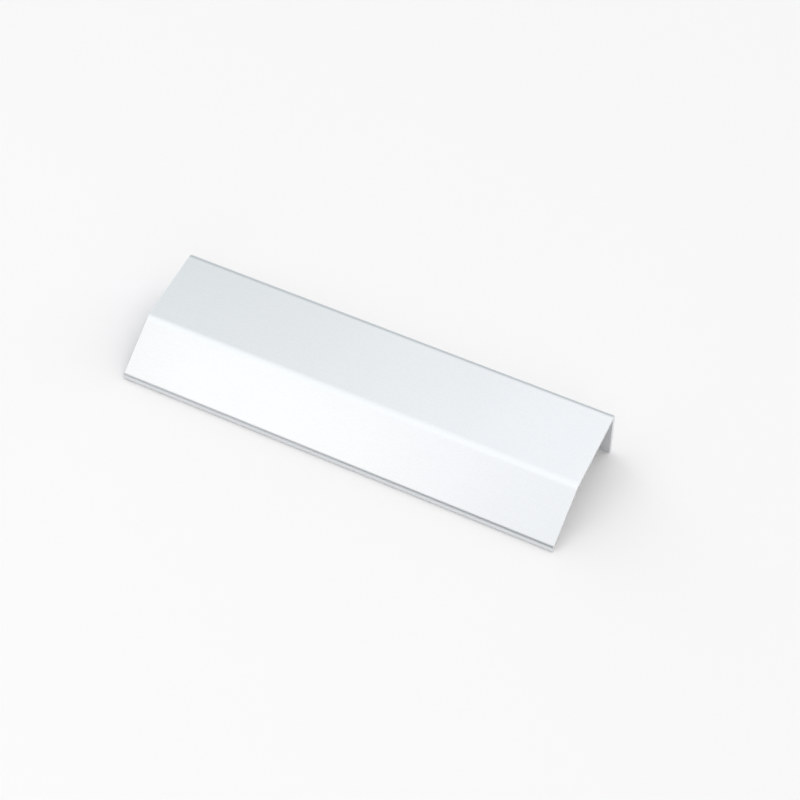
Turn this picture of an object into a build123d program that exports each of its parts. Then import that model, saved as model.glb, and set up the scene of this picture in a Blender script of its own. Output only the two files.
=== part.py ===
"""Edge pull: one length of extruded aluminium profile that hooks over the edge of a door or drawer front.

The section is one wall of even thickness: a screw leg, a flange square to it that covers the edge of the door,
and a lip that bends down from the flange and ends in a short nose turned down parallel to the leg.
The pull is drawn as it lies unheld, on the foot of its leg and the foot of its nose.
Millimetres. X runs along the length, the lip faces -Y, the leg is at +Y and Z is up.
"""

import os
from math import atan2, cos, degrees, radians, sin, tan

from build123d import *

# Driving sizes of the profile, measured on its outer faces to the sharp corners
length = 150.0
wall = 1.5
leg_height = 21.0
flange_depth = 28.7
lip_length = 20.5
lip_angle = 27.0
nose_straight = 0.4

# Inside radii of the bends, and the radius on the corners of both feet
corner_inner_radius = 0.5
bend_inner_radius = 4.5
nose_inner_radius = 0.5
foot_radius = 0.3

# Screw holes through the leg, and the break on the sawn ends
hole_spacing = 128.0
hole_diameter = 4.2
countersink_diameter = 6.4
countersink_angle = 90.0
end_break = 0.15

# Outside radii are a wall larger than the inside ones, so that the wall stays even round each bend
corner_radius = corner_inner_radius + wall
bend_radius = bend_inner_radius + wall
nose_radius = nose_inner_radius + wall

# Sharp outer and inner corners of the section, from the outer corner of leg and flange, with the leg upright
lip_turn = radians(lip_angle)
nose_turn = radians(90.0 - lip_angle)
nose_height = nose_radius * tan(nose_turn / 2) + nose_straight + foot_radius
corner_outer = Vector(0, 0)
corner_inner = Vector(-wall, -wall)
bend_outer = Vector(-flange_depth, 0)
bend_inner = bend_outer + Vector(wall * tan(lip_turn / 2), -wall)
tip = bend_outer - Vector(lip_length * cos(lip_turn), lip_length * sin(lip_turn))
nose_root = tip + Vector(wall, -wall * tan(nose_turn / 2))
nose_front = tip - Vector(0, nose_height)
nose_rear = nose_front + Vector(wall, 0)
foot_outer = Vector(0, -leg_height)
foot_inner = Vector(-wall, -leg_height)

outline = [
    foot_outer,
    corner_outer,
    bend_outer,
    tip,
    nose_front,
    nose_rear,
    nose_root,
    bend_inner,
    corner_inner,
    foot_inner,
]
rounded = [
    (foot_outer, foot_radius),
    (corner_outer, corner_radius),
    (bend_outer, bend_radius),
    (tip, nose_radius),
    (nose_front, foot_radius),
    (nose_rear, foot_radius),
    (nose_root, nose_inner_radius),
    (bend_inner, bend_inner_radius),
    (corner_inner, corner_inner_radius),
    (foot_inner, foot_radius),
]

# Lean of the profile as it lies: the line through the two rounded corners that touch the floor becomes level
leg_contact = foot_inner + Vector(foot_radius, foot_radius)
nose_contact = nose_front + Vector(foot_radius, foot_radius)
lean = atan2(nose_contact.Y - leg_contact.Y, leg_contact.X - nose_contact.X)


def lying(point):
    """Turns a point of the section by the lean, about the outer corner."""
    return Vector(point.X * cos(lean) - point.Y * sin(lean), point.X * sin(lean) + point.Y * cos(lean))


# Place of the outer corner, so that the origin is on the floor in the middle of the footprint
nose_bend_centre = tip + Vector(nose_radius, -nose_radius * tan(nose_turn / 2))
foot_outer_centre = foot_outer + Vector(-foot_radius, foot_radius)
front_y = lying(nose_bend_centre).X - nose_radius
rear_y = lying(foot_outer_centre).X + foot_radius
floor_z = lying(nose_contact).Y - foot_radius
corner_place = Vector(0, -(front_y + rear_y) / 2, -floor_z)
section_plane = Plane(origin=corner_place, x_dir=(0, cos(lean), sin(lean)), z_dir=(1, 0, 0))

# Middle of the leg's free height, on its outer face, where the screws go in
hole_drop = (leg_height + wall) / 2
leg_normal = Vector(0, cos(lean), sin(lean))
hole_centre = corner_place + Vector(0, hole_drop * sin(lean), -hole_drop * cos(lean))
leg_plane = Plane(origin=hole_centre, x_dir=(1, 0, 0), z_dir=leg_normal)

with BuildPart() as edge_pull:
    with BuildSketch(section_plane) as section:
        with BuildLine():
            Polyline(*outline, close=True)
        make_face()
        for corner, radius in rounded:
            nearest = section.sketch_local.vertices().sort_by_distance(corner)[0]
            fillet(nearest, radius=radius)
    extrude(amount=length / 2, both=True)

    # Two screw holes, countersunk from the outside of the leg
    with Locations(leg_plane):
        with GridLocations(hole_spacing, 0, 2, 1):
            CounterSinkHole(
                radius=hole_diameter / 2,
                counter_sink_radius=countersink_diameter / 2,
                counter_sink_angle=countersink_angle,
                depth=2 * wall,
            )

    # The sawn ends have their burr taken off
    ends = edge_pull.faces().sort_by(Axis.X)
    chamfer(ends[0].edges() + ends[-1].edges(), length=end_break)

edge_pull.part.label = "edge_pull"
os.makedirs("parts", exist_ok=True)
export_step(edge_pull.part, "parts/edge_pull.step")

box = edge_pull.part.bounding_box()
print("lean", round(degrees(lean), 3), "box", box.min, box.max)
print("volume", round(edge_pull.part.volume, 1), "hole centre", hole_centre, "normal", leg_normal)
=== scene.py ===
import math
import bmesh
import bpy
import numpy as np
from mathutils import Matrix, Vector


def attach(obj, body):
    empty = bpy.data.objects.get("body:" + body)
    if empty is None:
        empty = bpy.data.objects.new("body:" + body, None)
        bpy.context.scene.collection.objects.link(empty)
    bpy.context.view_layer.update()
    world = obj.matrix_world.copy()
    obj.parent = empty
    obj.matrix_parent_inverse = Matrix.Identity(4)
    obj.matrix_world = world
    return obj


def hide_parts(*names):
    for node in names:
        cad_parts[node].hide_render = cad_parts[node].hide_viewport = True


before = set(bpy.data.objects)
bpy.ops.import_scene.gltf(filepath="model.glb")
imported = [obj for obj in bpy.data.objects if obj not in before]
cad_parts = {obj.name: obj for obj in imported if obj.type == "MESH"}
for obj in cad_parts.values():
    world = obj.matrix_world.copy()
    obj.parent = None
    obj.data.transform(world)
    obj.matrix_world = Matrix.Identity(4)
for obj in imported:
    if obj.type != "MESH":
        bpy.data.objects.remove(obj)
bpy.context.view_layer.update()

scene = bpy.context.scene
scene.view_settings.view_transform = "Standard"

# the extruded profile, in metres and degrees, drawn with the leg upright
pullShape = {
    "length": 0.150,
    "wall": 0.0015,
    "legHeight": 0.0210,
    "flangeDepth": 0.0287,
    "lipLength": 0.0205,
    "lipAngle": 27.0,
    "noseStraight": 0.0004,
    "cornerInnerRadius": 0.0005,  # each outer radius is one wall larger
    "bendInnerRadius": 0.0045,
    "noseInnerRadius": 0.0005,
    "footRadius": 0.0003,
    "endBreak": 0.00015,
    "holeSpacing": 0.128,
    "holeRadius": 0.0021,
    "sinkRadius": 0.0032,
    "sinkDepth": 0.0011,
    "arcSteps": 16,  # faces round each radius
    "breakSteps": 4,
    "windowHalf": 0.0048,  # half the square of finer faces around a hole
    "windowSteps": 12,
    "rimSteps": 4,  # faces from that square in to the round rim
    "sinkSteps": 3,  # faces down the countersink
    "holdDistance": 0.00006,  # keeps flat faces flat next to a radius
    "mergeDistance": 0.0000001,
    "sharpAngle": 30.0,
}

# corners and straight runs of the section are counted from the foot of the leg, up its outside
legOuterRun, legInnerRun = 0, 8
legTopCorner = 1

# material slots of the piece
drawnFaces, sawnEnds, screwHoles = range(3)


# sharp corners of the section, the radius on each, and how far it leans as it lies on foot and nose:
# the line through the centres of the two rounded corners that touch the floor is turned level
def pullSection(shape):
    wall, leg, flange = shape["wall"], shape["legHeight"], shape["flangeDepth"]
    foot = shape["footRadius"]
    lipTurn = math.radians(shape["lipAngle"])
    noseTurn = math.pi / 2 - lipTurn  # the nose ends parallel to the leg
    cornerOuter = shape["cornerInnerRadius"] + wall
    bendOuter = shape["bendInnerRadius"] + wall
    noseOuter = shape["noseInnerRadius"] + wall
    noseReach = noseOuter * math.tan(noseTurn / 2)  # height the nose's radius takes up
    tip = np.array([-flange, 0]) - shape["lipLength"] * np.array([math.cos(lipTurn), math.sin(lipTurn)])
    noseFront = tip - np.array([0, noseReach + shape["noseStraight"] + foot])
    corners = np.array([
        (0, -leg), (0, 0), (-flange, 0), tip, noseFront, noseFront + (wall, 0),
        tip + (wall, -wall * math.tan(noseTurn / 2)), (-flange + wall * math.tan(lipTurn / 2), -wall),
        (-wall, -wall), (-wall, -leg),
    ])
    radii = np.array([
        foot, cornerOuter, bendOuter, noseOuter, foot, foot,
        shape["noseInnerRadius"], shape["bendInnerRadius"], shape["cornerInnerRadius"], foot,
    ])
    legContact = np.array([foot - wall, foot - leg])
    noseContact = noseFront + foot
    rise, reach = noseContact[1] - legContact[1], legContact[0] - noseContact[0]
    lean = math.atan2(rise, reach)
    spin = np.array([[math.cos(lean), -math.sin(lean)], [math.sin(lean), math.cos(lean)]])
    # moved so that the footprint is centred and the contacts are on the floor
    front = (spin @ (tip + (noseOuter, -noseReach)))[0] - noseOuter
    rear = (spin @ np.array([-foot, foot - leg]))[0] + foot
    offset = np.array([-(front + rear) / 2, foot - (spin @ noseContact)[1]])
    return corners @ spin.T + offset, radii, lean


# outline with every corner rounded: an arc's centre is on the bisector, radius / sin(half angle) from its
# corner; stations are put into the straight runs, as distances along them, and marks number each run's
# first point
def roundedOutline(corners, radii, steps, hold, stations):
    count = len(corners)
    before = np.roll(corners, 1, 0) - corners
    after = np.roll(corners, -1, 0) - corners
    before /= np.linalg.norm(before, axis=1)[:, None]
    after /= np.linalg.norm(after, axis=1)[:, None]
    half = np.arccos(np.clip((before * after).sum(1), -1, 1)) / 2
    bisector = (before + after) / np.linalg.norm(before + after, axis=1)[:, None]
    centres = corners + bisector * (radii / np.sin(half))[:, None]
    convex = np.sign(before[:, 1] * after[:, 0] - before[:, 0] * after[:, 1])
    reachBack = (radii / np.tan(half))[:, None]
    starts = corners + before * reachBack
    ends = corners + after * reachBack
    first = np.arctan2(*(starts - centres).T[::-1])
    sweep = convex * (np.pi - 2 * half)
    angles = first[:, None] + sweep[:, None] * np.linspace(0, 1, steps + 1)
    rays = np.stack([np.cos(angles), np.sin(angles)], 2)
    arcs = centres[:, None] + radii[:, None, None] * rays
    arcNormals = rays * convex[:, None, None]
    points, normals, marks = [], [], {}
    for turn in range(count):
        runLength = np.linalg.norm(starts[(turn + 1) % count] - ends[turn])
        along = np.unique(np.concatenate([[hold, runLength - hold], stations.get(turn, [])]))
        run = ends[turn] + along[:, None] * after[turn]
        outward = np.array([after[turn][1], -after[turn][0]])
        marks[turn] = sum(len(part) for part in points) + steps + 1
        points += [arcs[turn], run]
        normals += [arcNormals[turn], np.broadcast_to(outward, run.shape)]
    return np.concatenate(points), np.concatenate(normals), marks


pullCorners, pullRadii, pullLean = pullSection(pullShape)
print("section leans", round(math.degrees(pullLean), 3), "degrees")


# the screw holes are halfway down the inside of the leg
def holeDrop(shape):
    return (shape["legHeight"] + shape["wall"]) / 2


# middle of the holes on the leg's outer face, and the directions down the leg and out of it, all as Y and Z
def legFrame(shape):
    down = np.array([math.sin(pullLean), -math.cos(pullLean)])
    out = np.array([math.cos(pullLean), math.sin(pullLean)])
    return pullCorners[legTopCorner] + holeDrop(shape) * down, down, out


# corner numbers of a grid's faces, each row closed on itself, with the row and column of every face
def ringFaces(rowCount, columnCount):
    row, column = np.meshgrid(np.arange(rowCount - 1), np.arange(columnCount), indexing="ij")
    here, beside = row * columnCount + column, row * columnCount + (column + 1) % columnCount
    return np.stack([here, beside, beside + columnCount, here + columnCount], 2), row, column


# rings along X: ring n is the outline drawn in by inset[n] along its normals, at x[n], and the end break is a
# quarter circle; squares are left open in both faces of the leg, where the holes go
def edgePullGrid(shape):
    wall, leg, drop = shape["wall"], shape["legHeight"], holeDrop(shape)
    half, steps = shape["windowHalf"], shape["windowSteps"]
    square = np.linspace(-half, half, steps + 1)
    stations = {
        legOuterRun: leg - drop + square - shape["footRadius"],
        legInnerRun: drop - wall + square - shape["cornerInnerRadius"],
    }
    points, normals, marks = roundedOutline(
        pullCorners, pullRadii, shape["arcSteps"], shape["holdDistance"], stations)

    theta = np.linspace(0, np.pi / 2, shape["breakSteps"] + 1)
    endX = shape["length"] / 2 - shape["endBreak"] * (1 - np.sin(theta))
    endInset = shape["endBreak"] * (1 - np.cos(theta))
    holdX = endX[0] - shape["holdDistance"]
    capInset = shape["endBreak"] + shape["holdDistance"]
    holeX = np.concatenate([square - shape["holeSpacing"] / 2, square + shape["holeSpacing"] / 2])
    x = np.concatenate([[-endX[-1]], -endX[::-1], [-holdX], holeX, [holdX], endX, [endX[-1]]])
    inset = np.concatenate([[capInset], endInset[::-1], np.zeros(2 + len(holeX)), endInset, [capInset]])

    rings = points[None] - inset[:, None, None] * normals[None]
    ringCount, outlineCount = rings.shape[:2]
    ringX = np.broadcast_to(x[:, None, None], (ringCount, outlineCount, 1))
    verts = np.concatenate([ringX, rings], 2).reshape(-1, 3)
    quads, ring, column = ringFaces(ringCount, outlineCount)

    leftStart = len(endX) + 2  # after the rings of the cap, the end break and the hold
    rightStart = leftStart + len(square)
    outerStart, innerStart = marks[legOuterRun] + 1, marks[legInnerRun] + 1
    holeRing = (ring >= leftStart) & (ring < leftStart + steps)
    holeRing |= (ring >= rightStart) & (ring < rightStart + steps)
    holeColumn = (column >= outerStart) & (column < outerStart + steps)
    holeColumn |= (column >= innerStart) & (column < innerStart + steps)
    keep = ~(holeRing & holeColumn)
    endRing = (ring == 0) | (ring == ringCount - 2)
    return verts, quads[keep], endRing[keep], ringCount, outlineCount


# grid round one hole: rows go from the square in the leg's outer face to the round rim, down the countersink,
# through the bore, and out to the square in the inner face; blend is 1 on the square and 0 on the round
def holeGrid(shape, side):
    half, steps = shape["windowHalf"], shape["windowSteps"]
    step = np.linspace(-half, half, steps + 1)[:-1]
    edge = np.full(steps, half)
    edges = [(step, -edge), (edge, step), (-step, edge), (-edge, -step)]
    square = np.concatenate([np.stack(pair, 1) for pair in edges])
    rim = square / np.linalg.norm(square, axis=1)[:, None]

    outer, inner = shape["sinkRadius"], shape["holeRadius"]
    spread = np.linspace(1, 0, shape["rimSteps"] + 1)
    sink = np.linspace(0, 1, shape["sinkSteps"] + 1)[1:]
    level = np.ones(len(spread))
    radius = np.concatenate([outer * level, outer + (inner - outer) * sink, inner * level])
    blend = np.concatenate([spread, 0 * sink, spread[::-1]])
    depth = np.concatenate([0 * level, shape["sinkDepth"] * sink, shape["wall"] * level])
    radius, blend, depth = (values[:, None, None] for values in (radius, blend, depth))
    flat = (1 - blend) * radius * rim + blend * square

    middle, down, out = legFrame(shape)
    x = side * shape["holeSpacing"] / 2 + flat[:, :, :1]
    verts = np.concatenate([x, middle - flat[:, :, 1:] * down - depth * out], 2)
    faces, row, column = ringFaces(*verts.shape[:2])
    bored = (row >= shape["rimSteps"]) & (row <= shape["rimSteps"] + shape["sinkSteps"])
    return verts.reshape(-1, 3), faces.reshape(-1, 4), bored.reshape(-1)


# puts the grids together, closes the ends, merges what meets and turns every face outwards
def makeEdgePull(shape):
    verts, quads, endRing, ringCount, outlineCount = edgePullGrid(shape)
    allVerts, allFaces, slots = [verts], [quads], [np.where(endRing, sawnEnds, drawnFaces)]
    base = len(verts)
    for side in (-1, 1):
        holeVerts, holeFaces, bored = holeGrid(shape, side)
        allVerts.append(holeVerts)
        allFaces.append(holeFaces + base)
        slots.append(np.where(bored, screwHoles, drawnFaces))
        base += len(holeVerts)
    outline = np.arange(outlineCount)
    caps = [outline[::-1].tolist(), ((ringCount - 1) * outlineCount + outline).tolist()]
    slots.append(np.full(len(caps), sawnEnds))

    mesh = bpy.data.meshes.new("edgePull")
    mesh.from_pydata(np.concatenate(allVerts).tolist(), [], np.concatenate(allFaces).tolist() + caps)
    mesh.polygons.foreach_set("material_index", np.concatenate(slots).astype(np.int32))
    mesh.polygons.foreach_set("use_smooth", np.ones(len(mesh.polygons), bool))
    work = bmesh.new()
    work.from_mesh(mesh)
    bmesh.ops.remove_doubles(work, verts=work.verts, dist=shape["mergeDistance"])
    bmesh.ops.recalc_face_normals(work, faces=work.faces)
    openEdges = sum(1 for edge in work.edges if len(edge.link_faces) != 2)
    volume = work.calc_volume() * 1000 ** 3
    print("edge pull:", len(work.faces), "faces,", openEdges, "open edges, volume mm3", round(volume, 1))
    work.to_mesh(mesh)
    work.free()
    mesh.set_sharp_from_angle(angle=math.radians(shape["sharpAngle"]))
    piece = bpy.data.objects.new("edgePull", mesh)
    scene.collection.objects.link(piece)
    return piece


edgePull = makeEdgePull(pullShape)
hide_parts("edge_pull")
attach(edgePull, "root")


# links a socket to a value that comes from another node, or sets it to a plain one
def plug(tree, socket, value):
    if isinstance(value, bpy.types.NodeSocket):
        tree.links.new(value, socket)
    else:
        socket.default_value = value


def addNode(tree, kind, settings=None, **sockets):
    made = tree.nodes.new(kind)
    for name, value in (settings or {}).items():
        setattr(made, name, value)
    for name, value in sockets.items():
        plug(tree, made.inputs[name.replace("_", " ")], value)
    return made


def addMath(tree, operation, *values):
    made = addNode(tree, "ShaderNodeMath", {"operation": operation})
    for socket, value in zip(made.inputs, values):
        plug(tree, socket, value)
    return made.outputs["Value"]


# the result is a number for a length or a dot product, and a vector for the rest
def addVectorMath(tree, operation, *values):
    made = addNode(tree, "ShaderNodeVectorMath", {"operation": operation})
    for socket, value in zip(made.inputs, values):
        plug(tree, socket, value)
    return made.outputs["Value" if operation in ("LENGTH", "DOT_PRODUCT") else "Vector"]


def addNoise(tree, place, layer):
    made = addNode(tree, "ShaderNodeTexNoise", Vector=place, Scale=1 / layer["size"],
                   Detail=layer["detail"], Roughness=layer["rough"])
    return made.outputs["Fac"]


def newGroup(name, inputs, outputs):
    group = bpy.data.node_groups.new(name, "ShaderNodeTree")
    for label, kind in inputs.items():
        group.interface.new_socket(name=label, in_out="INPUT", socket_type=kind)
    for label in outputs:
        group.interface.new_socket(name=label, in_out="OUTPUT", socket_type="NodeSocketFloat")
    return group, group.nodes.new("NodeGroupInput"), group.nodes.new("NodeGroupOutput")


# satin, clear-anodised skin: lengths in metres, tones are linear colours, and the four shares add up to one
skinLook = {
    "tones": ((0.682, 0.704, 0.721, 1), (0.882, 0.904, 0.921, 1)),
    "roughness": (0.33, 0.39),
    "grain": {"size": 0.00021, "detail": 2.0, "rough": 0.6, "share": 0.42},
    "speckle": {"size": 0.00048, "detail": 1.0, "rough": 0.5, "share": 0.32},
    "cloud": {"size": 0.026, "detail": 2.0, "rough": 0.5, "share": 0.16},
    "lines": {"size": 0.0005, "detail": 3.0, "rough": 0.65, "share": 0.10},  # size is their spacing
    "lineStretch": 0.012,  # how little the lines change along the length
    "lineHeight": 0.5,  # beside the grain's own height
    "depth": 0.0000040,
}


# etched skin of drawn aluminium: fine grain, small speckle, broad clouding and faint die lines along X,
# each times its share; the relief is the grain and the lines
def etchedSkinGroup(look):
    inputs = {"Vector": "NodeSocketVector", "Lines": "NodeSocketFloat"}
    group, given, result = newGroup("etchedSkin", inputs, ["Tone", "Grain", "Height"])
    place = given.outputs["Vector"]
    drawn = addNode(group, "ShaderNodeMapping", Vector=place, Scale=(look["lineStretch"], 1, 1))
    allLines = addNoise(group, drawn.outputs["Vector"], look["lines"])
    lines = addMath(group, "MULTIPLY", allLines, given.outputs["Lines"])
    grain = addNoise(group, place, look["grain"])
    tone = addMath(group, "MULTIPLY", lines, look["lines"]["share"])
    for layer in ("cloud", "speckle"):
        noise = addNoise(group, place, look[layer])
        tone = addMath(group, "ADD", tone, addMath(group, "MULTIPLY", noise, look[layer]["share"]))
    tone = addMath(group, "ADD", tone, addMath(group, "MULTIPLY", grain, look["grain"]["share"]))
    height = addMath(group, "ADD", grain, addMath(group, "MULTIPLY", lines, look["lineHeight"]))
    group.links.new(tone, result.inputs["Tone"])
    group.links.new(grain, result.inputs["Grain"])
    group.links.new(height, result.inputs["Height"])
    return group


markNoise = {"detail": 2.0, "rough": 0.7}


# grooves left by a cutting edge: uneven rings that change only with the distance given
def toolMarksGroup(look):
    inputs = {"Distance": "NodeSocketFloat", "Spacing": "NodeSocketFloat"}
    group, given, result = newGroup("toolMarks", inputs, ["Mark"])
    turns = addMath(group, "DIVIDE", given.outputs["Distance"], given.outputs["Spacing"])
    rings = addNode(group, "ShaderNodeTexNoise", {"noise_dimensions": "1D"}, W=turns, Scale=1.0,
                    Detail=look["detail"], Roughness=look["rough"])
    group.links.new(rings.outputs["Fac"], result.inputs["Mark"])
    return group


etchedSkin = etchedSkinGroup(skinLook)
toolMarks = toolMarksGroup(markNoise)

noiseSpan = (0.3, 0.7)  # most of a noise lies between these
mixFactor, mixFirst, mixSecond, mixResult = 0, 6, 7, 2  # places of the colour sockets on a Mix node


def newMetal(name):
    material = bpy.data.materials.new(name)
    material.use_nodes = True
    tree = material.node_tree
    shader = tree.nodes["Principled BSDF"]
    shader.inputs["Metallic"].default_value = 1
    place = addNode(tree, "ShaderNodeTexCoord").outputs["Object"]
    return material, tree, shader, place


# colour goes from the darker tone to the lighter one, and roughness from its first value to its second
def spreadTones(tree, shader, factor, tones, roughFactor, roughness):
    tone = addNode(tree, "ShaderNodeMix", {"data_type": "RGBA"})
    tree.links.new(factor, tone.inputs[mixFactor])
    tone.inputs[mixFirst].default_value, tone.inputs[mixSecond].default_value = tones
    tree.links.new(tone.outputs[mixResult], shader.inputs["Base Color"])
    rough = addNode(tree, "ShaderNodeMapRange", Value=roughFactor, From_Min=noiseSpan[0],
                    From_Max=noiseSpan[1], To_Min=roughness[0], To_Max=roughness[1])
    tree.links.new(rough.outputs["Result"], shader.inputs["Roughness"])


def spreadBump(tree, shader, height, depth):
    bump = addNode(tree, "ShaderNodeBump", Strength=1.0, Distance=depth, Height=height)
    tree.links.new(bump.outputs["Normal"], shader.inputs["Normal"])


# machined metal: tool marks at the distance given, with the skin's tone over them
def spreadMarks(tree, shader, place, distance, look):
    marks = addNode(tree, "ShaderNodeGroup", {"node_tree": toolMarks}, Distance=distance,
                    Spacing=look["spacing"])
    skin = addNode(tree, "ShaderNodeGroup", {"node_tree": etchedSkin}, Vector=place, Lines=0.0)
    mark = marks.outputs["Mark"]
    tone = addMath(tree, "ADD", addMath(tree, "MULTIPLY", mark, look["markShare"]),
                   addMath(tree, "MULTIPLY", skin.outputs["Tone"], look["skinShare"]))
    spreadTones(tree, shader, tone, look["tones"], mark, look["roughness"])
    spreadBump(tree, shader, mark, look["depth"])


def satinAnodised(look):
    material, tree, shader, place = newMetal("satinAnodised")
    skin = addNode(tree, "ShaderNodeGroup", {"node_tree": etchedSkin}, Vector=place, Lines=1.0)
    spreadTones(tree, shader, skin.outputs["Tone"], look["tones"], skin.outputs["Grain"], look["roughness"])
    spreadBump(tree, shader, skin.outputs["Height"], look["depth"])
    return material


sawLook = {
    "tones": ((0.60, 0.614, 0.622, 1), (0.86, 0.874, 0.884, 1)),
    "roughness": (0.27, 0.40),
    "spacing": 0.00034,
    "bladeCentre": (0.0, 0.035, 0.155),
    "markShare": 0.7,
    "skinShare": 0.35,
    "depth": 0.000009,
}


# blade marks are arcs about a centre well above the section
def sawnEnd(look):
    material, tree, shader, place = newMetal("sawnEnd")
    across = addNode(tree, "ShaderNodeMapping", Vector=place, Scale=(0, 1, 1),
                     Location=[-v for v in look["bladeCentre"]])
    spreadMarks(tree, shader, place, addVectorMath(tree, "LENGTH", across.outputs["Vector"]), look)
    return material


sinkLook = {
    "tones": ((0.73, 0.748, 0.758, 1), (0.81, 0.822, 0.832, 1)),
    "roughness": (0.18, 0.30),
    "spacing": 0.00011,
    "markShare": 0.7,
    "skinShare": 0.35,
    "depth": 0.000004,
}


# turning marks run round each screw hole: the distance is that from the hole's axis plus that out of the leg,
# so it grows from the bore out over the cone
def turnedSink(look, shape):
    material, tree, shader, place = newMetal("turnedSink")
    middle = legFrame(shape)[0]
    moved = addNode(tree, "ShaderNodeMapping", Vector=place, Location=(0, -middle[0], -middle[1]))
    turned = addNode(tree, "ShaderNodeMapping", Vector=moved.outputs["Vector"], Rotation=(-pullLean, 0, 0))
    split = addNode(tree, "ShaderNodeSeparateXYZ", Vector=turned.outputs["Vector"])
    fromMiddle = addMath(tree, "ABSOLUTE", split.outputs["X"])
    fromHole = addMath(tree, "SUBTRACT", fromMiddle, shape["holeSpacing"] / 2)
    flat = addNode(tree, "ShaderNodeCombineXYZ", X=fromHole, Y=split.outputs["Z"])
    fromAxis = addVectorMath(tree, "LENGTH", flat.outputs["Vector"])
    spreadMarks(tree, shader, place, addMath(tree, "ADD", fromAxis, split.outputs["Y"]), look)
    return material


for material in (satinAnodised(skinLook), sawnEnd(sawLook), turnedSink(sinkLook, pullShape)):
    edgePull.data.materials.append(material)
print("materials", [material.name for material in edgePull.data.materials])


# direction at an azimuth (0 behind, 90 right, 180 in front) and an elevation
def towards(azimuth, elevation):
    around, up = math.radians(azimuth), math.radians(elevation)
    return Vector((math.sin(around) * math.cos(up), math.cos(around) * math.cos(up), math.sin(up)))


cameraSetup = {
    "aim": (0.010094, 0.003308, 0.008657),
    "distance": 0.5893,
    "azimuth": 157.33,
    "elevation": 45.38,
    "roll": 4.82,
    "lens": 84.19,
    "sensor": 36.0,
    "clipStart": 0.01,
}


# the camera stands at its direction and distance from the aim point, then rolls about its own view line
def placeCamera(setup):
    back = towards(setup["azimuth"], setup["elevation"])
    data = bpy.data.cameras.new("photoCamera")
    data.lens = setup["lens"]
    data.sensor_width = setup["sensor"]
    data.clip_start = setup["clipStart"]
    camera = bpy.data.objects.new("photoCamera", data)
    scene.collection.objects.link(camera)
    turn = (-back).to_track_quat("-Z", "Y").to_matrix().to_4x4()
    roll = Matrix.Rotation(math.radians(setup["roll"]), 4, "Z")
    camera.matrix_world = Matrix.Translation(Vector(setup["aim"]) + back * setup["distance"]) @ turn @ roll
    scene.camera = camera


placeCamera(cameraSetup)

# plain pale floor, wide enough for low views
floorSetup = {"half": 6.0, "colour": (0.942, 0.938, 0.938, 1), "roughness": 0.9}


def makeFloor(setup):
    half = setup["half"]
    floorCorners = [(-half, -half, 0), (half, -half, 0), (half, half, 0), (-half, half, 0)]
    floorMesh = bpy.data.meshes.new("floor")
    floorMesh.from_pydata(floorCorners, [], [(0, 1, 2, 3)])
    floor = bpy.data.objects.new("floor", floorMesh)
    scene.collection.objects.link(floor)
    paper = bpy.data.materials.new("paper")
    paper.use_nodes = True
    shader = paper.node_tree.nodes["Principled BSDF"]
    shader.inputs["Base Color"].default_value = setup["colour"]
    shader.inputs["Roughness"].default_value = setup["roughness"]
    floorMesh.materials.append(paper)


makeFloor(floorSetup)

# studio tent: an even white wall all round, with softly edged lighter and darker panels; each panel is
# the light it adds, its azimuth, its elevation, and the two cosines it fades between
tentSetup = {
    "wall": (0.627, 0.668, 0.680),
    "least": (0.02, 0.02, 0.02),
    "panels": {
        "left": ((0.780, 0.765, 0.768), 251.5, 4.4, 0.393, 0.609),
        "right": ((0.538, 0.498, 0.515), 91.1, 46.3, 0.335, 0.435),
        "rightLow": ((-0.710, -0.770, -0.900), 99.5, 14.5, 0.799, 0.903),
        "roof": ((0.297, 0.273, 0.268), 130.8, 83.9, 0.695, 0.870),
        "roofLeft": ((-0.206, -0.192, -0.203), 260.9, 61.8, 0.634, 0.698),
        "behindLow": ((-0.210, -0.210, -0.215), 17.0, 14.0, 0.800, 0.940),
        "frontLow": ((-0.980, -0.982, -0.972), 228.5, -14.7, 0.287, 0.666),
    },
}


def studioTent(setup):
    world = bpy.data.worlds.new("studioTent")
    scene.world = world
    world.use_nodes = True
    tree = world.node_tree
    direction = addNode(tree, "ShaderNodeTexCoord").outputs["Generated"]
    total = setup["wall"]
    for name, (light, azimuth, elevation, start, full) in setup["panels"].items():
        facing = addVectorMath(tree, "DOT_PRODUCT", direction, towards(azimuth, elevation))
        fade = addNode(tree, "ShaderNodeMapRange", {"interpolation_type": "SMOOTHSTEP", "label": name},
                       Value=facing, From_Min=start, From_Max=full)
        total = addVectorMath(tree, "MULTIPLY_ADD", fade.outputs["Result"], light, total)
    kept = addVectorMath(tree, "MAXIMUM", total, setup["least"])
    tree.links.new(kept, tree.nodes["Background"].inputs["Color"])


studioTent(tentSetup)

# round softbox in front of the lip
softboxSetup = {
    "azimuth": 211.7,
    "elevation": 37.2,
    "distance": 0.792,
    "radius": 0.219,
    "light": (0.920, 0.838, 0.785),
}


# its energy is radiance times pi times area
def softbox(setup):
    data = bpy.data.lights.new("softbox", "AREA")
    data.shape = "DISK"
    data.size = 2 * setup["radius"]
    strongest = max(setup["light"])
    area = math.pi * setup["radius"] ** 2
    data.color = [v / strongest for v in setup["light"]]
    data.energy = strongest * math.pi * area
    lamp = bpy.data.objects.new("softbox", data)
    out = towards(setup["azimuth"], setup["elevation"])
    lamp.location = out * setup["distance"]
    lamp.rotation_mode = "QUATERNION"
    lamp.rotation_quaternion = (-out).to_track_quat("-Z", "Y")
    lamp.visible_camera = False
    scene.collection.objects.link(lamp)


softbox(softboxSetup)
print("camera, floor and light set")
